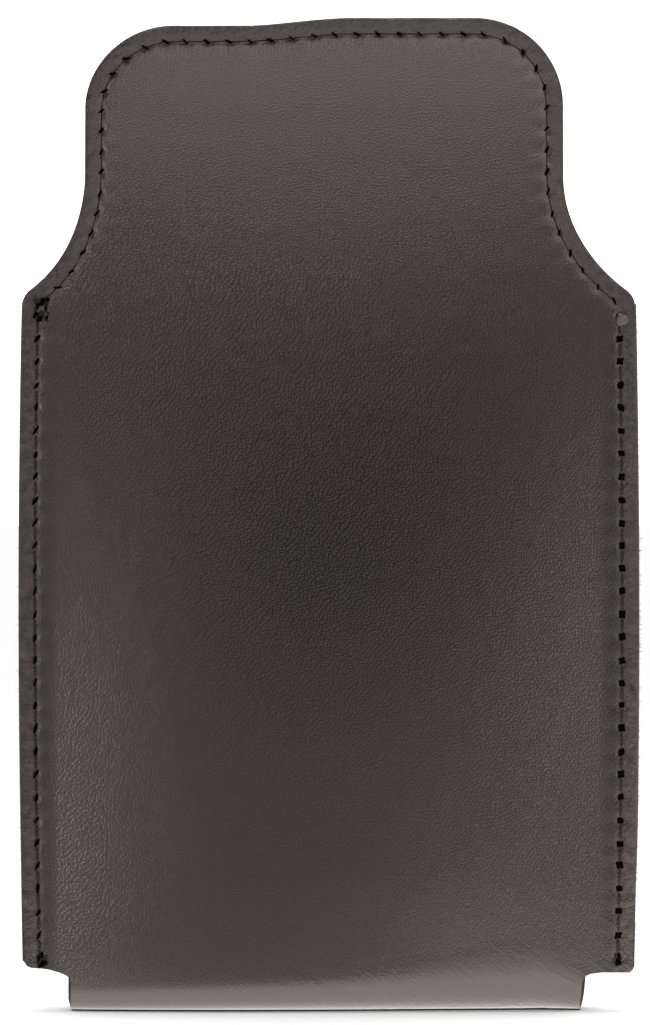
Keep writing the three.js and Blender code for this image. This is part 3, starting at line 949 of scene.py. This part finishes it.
# ---- thread ends ----
# The side seams are back-stitched at their ends, which heaps up a few short threads. One end, at the
# right shoulder, was melted into a small bead instead.
for name, side, z, reach, heap in (
    ("left_top_tack", -1, 0.1275, 0.0018, 13),
    ("left_foot_tack", -1, 0.0093, 0.0012, 7),
    ("right_foot_tack", 1, 0.0094, 0.0006, 3),
):
    threads, holes = [], []
    heap_middle = float(side_half_width(z)) - SEAM_INSET - 0.4 * reach
    for k in range(2 * heap):
        x = side * (heap_middle + rng.uniform(-0.7, 0.7) * reach)
        h = z + rng.uniform(-1, 1) * reach
        middle, along, up, _ = on_seam(point_on_back, (x, h - 0.001), (x, h + 0.001))
        turn = math.radians(rng.uniform(-60, 60))
        if k % 3:
            size = (rng.uniform(0.0012, 0.0022), 0.0006, 0.0005)
            threads.append(placed(middle - up * 0.0001, along, up, size, turn))
        else:
            # dark holes among the threads: near-black slit copies, painted shade
            size = (rng.uniform(0.0008, 0.0015), rng.uniform(0.0004, 0.0008), 0.0005)
            holes.append(placed(middle - up * 0.00002, along, up, size, turn))
    tack = sew(name + "_threads", stitch, threads, thread)
    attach(tack, "case")
    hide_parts(name)
    torn = sew(name + "_holes", slit, holes, painted_slit_shade)
    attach(torn, "case")

melted = new_material("melted_thread", (0.045, 0.034, 0.027), 0.45, 0.4)[0]
BEAD_HEIGHT = 0.1256
bpy.ops.object.select_all(action="DESELECT")
bpy.ops.mesh.primitive_ico_sphere_add(subdivisions=3, radius=0.5)
bead_shape = bpy.context.object
for vertex in bead_shape.data.vertices:
    long_lumps = 0.13 * math.sin(6 * vertex.co.x + 2)
    short_lumps = 0.1 * math.sin(8 * vertex.co.y + 5 * vertex.co.x)
    vertex.co *= 1 + long_lumps + short_lumps
x = float(side_half_width(BEAD_HEIGHT)) - SEAM_INSET + 0.0004
middle, along, up, _ = on_seam(point_on_back, (x, BEAD_HEIGHT - 0.001), (x, BEAD_HEIGHT + 0.001))
bead_place = placed(middle, along, up, (0.0026, 0.0024, 0.0013), 0.5)
bead = sew("right_top_bead", bead_shape, [bead_place], melted)
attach(bead, "case")
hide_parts("right_top_knot")

# ---- loose fibres on the cut edges ----
# The sides were cut and left raw, so short fibres stand out of the leather's edge, most of them on
# the right.
FIBRE_WIDTH = 0.00009
bpy.ops.object.select_all(action="DESELECT")
bpy.ops.mesh.primitive_cone_add(vertices=4, radius1=0.5, radius2=0.08, depth=1)
fibre = bpy.context.object
for vertex in fibre.data.vertices:
    vertex.co.z += 0.5
    vertex.co.x += 0.9 * max(0, vertex.co.z) ** 2
places = []
for side, count in ((-1, 90), (1, 260)):
    for _ in range(count):
        z = rng.uniform(0.011, 0.1265)
        x = side * (float(side_half_width(z)) + (0.0002 if side > 0 else 0) - 0.0001)
        y = SEAM_PLANE + rng.choice((-1, 1)) * rng.uniform(0.0009, 0.0019)
        out = Vector((side, rng.uniform(-0.5, 0.5), rng.uniform(-0.9, 0.9))).normalized()
        across = Vector((0, 0, 1)).cross(out).normalized()
        axes = Matrix((across, out.cross(across), out)).transposed().to_4x4()
        length = rng.uniform(0.0002, 0.00075)
        size = Matrix.Diagonal((FIBRE_WIDTH, FIBRE_WIDTH, length, 1))
        places.append(Matrix.Translation((x, y, z)) @ axes @ size)
fibres = sew("edge_fibres", fibre, places, cut_leather)
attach(fibres, "case")

for template in (stitch, slit, bead_shape, fibre):
    bpy.data.objects.remove(template)

# ---- studio ----
# A pale floor under a pale sky that is darker behind the camera, and six soft lights, so the plain
# back shows its swell as a dark middle between lighter sides, and the fold catches a band of light.
bpy.ops.object.select_all(action="DESELECT")
bpy.ops.mesh.primitive_plane_add(size=80, location=(0, 0, 0))
floor = bpy.context.object
floor.name = "floor"
floor.data.transform(floor.matrix_world)
floor.matrix_world = Matrix.Identity(4)
floor.data.materials.append(new_material("pale_floor", (0.9, 0.9, 0.9), 0.9, 0.1)[0])

world = bpy.data.worlds.new("pale_sky")
bpy.context.scene.world = world
world.use_nodes = True
nodes, links = world.node_tree.nodes, world.node_tree.links
sky = nodes["Background"]
direction = nodes.new("ShaderNodeTexCoord")
split = nodes.new("ShaderNodeSeparateXYZ")
links.new(direction.outputs["Generated"], split.inputs["Vector"])
shade = nodes.new("ShaderNodeMapRange")
shade.interpolation_type = "SMOOTHSTEP"
shade.inputs["From Min"].default_value = -0.25
shade.inputs["From Max"].default_value = 0.15
shade.inputs["To Min"].default_value = 0.09
shade.inputs["To Max"].default_value = 1.9
links.new(split.outputs["Y"], shade.inputs["Value"])
links.new(shade.outputs["Result"], sky.inputs["Strength"])
sky.inputs["Color"].default_value = (1, 1, 1, 1)


def soft_light(name, location, size, power, aim=(0, 0, 0.09)):
    """A soft rectangular light that the camera does not see, turned towards its aim."""
    light = bpy.data.lights.new(name, "AREA")
    light.shape = "RECTANGLE"
    light.size, light.size_y = size
    light.energy = power
    lamp = bpy.data.objects.new(name, light)
    lamp.location = location
    lamp.rotation_euler = (Vector(aim) - Vector(location)).to_track_quat("-Z", "Y").to_euler()
    lamp.visible_camera = False
    bpy.context.collection.objects.link(lamp)


soft_light("overhead_light", (0.05, -0.02, 0.9), (0.5, 0.2), 3.5, (0.05, -0.02, 0))
soft_light("upper_light", (0.08, -0.25, 0.27), (0.4, 0.06), 0.51)
soft_light("left_light", (-0.55, -0.96, 0.05), (0.16, 0.5), 4.7)
soft_light("right_light", (0.55, -0.96, 0.05), (0.16, 0.5), 2.8)
soft_light("low_light", (0.12, -0.055, 0.0003), (0.2, 0.05), 0.05, (0.12, -0.055, 1))
soft_light("foot_light", (0.078, -0.0155, 0.0003), (0.27, 0.023), 0.068, (0.078, -0.0155, 1))

camera_data = bpy.data.cameras.new("camera")
camera = bpy.data.objects.new("camera", camera_data)
bpy.context.collection.objects.link(camera)
bpy.context.scene.camera = camera
DISTANCE = 1.1
FRAME_HEIGHT = 0.1864  # height that the view takes in at the seam plane
SENSOR = 36
camera_data.sensor_width = SENSOR
camera_data.lens = SENSOR * DISTANCE / FRAME_HEIGHT
camera.location = (-0.00064, SEAM_PLANE - DISTANCE, 0.0906)
camera.rotation_euler = (math.radians(90), 0, 0)
bpy.context.scene.view_settings.view_transform = "Standard"
